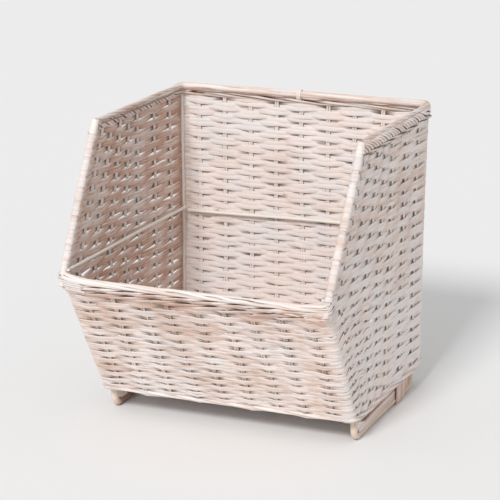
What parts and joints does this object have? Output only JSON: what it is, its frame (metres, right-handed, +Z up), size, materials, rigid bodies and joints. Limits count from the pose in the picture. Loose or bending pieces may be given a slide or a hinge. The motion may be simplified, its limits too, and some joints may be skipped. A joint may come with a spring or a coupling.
{
  "type": "storage crate",
  "caption": "Woven rattan storage crate with a tall back, sides sloping down to a low leaning front, an inner wire frame, rolled rims and bent cane runners under a flat woven base.",
  "frame": {"origin": "on the floor, at the middle of the crate's bounding box", "axes": "+Z up, -Y towards the open front, +X to the right of someone facing the back wall"},
  "size_m": [0.3624, 0.3748, 0.3845],
  "materials": {
    "whitewashed_rattan": "whitewashed, matte",
    "rattan_core": "bare core, matte",
    "painted_wire": "off-white paint, satin",
    "tan_cane": "tan, satin"
  },
  "bodies": {
    "root": {"base_wire_back": "painted_wire", "base_wire_front": "painted_wire", "base_wire_left": "painted_wire", "base_wire_right": "painted_wire", "front_post_wire_left": "painted_wire", "front_post_wire_right": "painted_wire", "lashing_left": "whitewashed_rattan", "lashing_right": "whitewashed_rattan", "lip_border": "whitewashed_rattan", "lip_level_wire_back": "painted_wire", "lip_level_wire_left": "painted_wire", "lip_level_wire_right": "painted_wire", "rim_border_back": "whitewashed_rattan", "rim_border_left": "whitewashed_rattan", "rim_border_right": "whitewashed_rattan", "rim_wire": "painted_wire", "runner_left": "tan_cane", "runner_right": "tan_cane", "stake_left_1": "rattan_core", "stake_left_2": "rattan_core", "stake_left_3": "rattan_core", "stake_left_4": "rattan_core", "stake_left_5": "rattan_core", "stake_left_6": "rattan_core", "stake_left_7": "rattan_core", "stake_right_1": "rattan_core", "stake_right_2": "rattan_core", "stake_right_3": "rattan_core", "stake_right_4": "rattan_core", "stake_right_5": "rattan_core", "stake_right_6": "rattan_core", "stake_right_7": "rattan_core", "stake_through_1": "rattan_core", "stake_through_2": "rattan_core", "stake_through_3": "rattan_core", "stake_through_4": "rattan_core", "stake_through_5": "rattan_core", "stake_through_6": "rattan_core", "stake_through_7": "rattan_core", "stake_through_8": "rattan_core", "stake_through_9": "rattan_core", "upright_wire_left": "painted_wire", "upright_wire_right": "painted_wire", "weave_back": "whitewashed_rattan", "weave_base": "whitewashed_rattan", "weave_front": "whitewashed_rattan", "weave_left": "whitewashed_rattan", "weave_right": "whitewashed_rattan"}
  },
  "joints": []
}
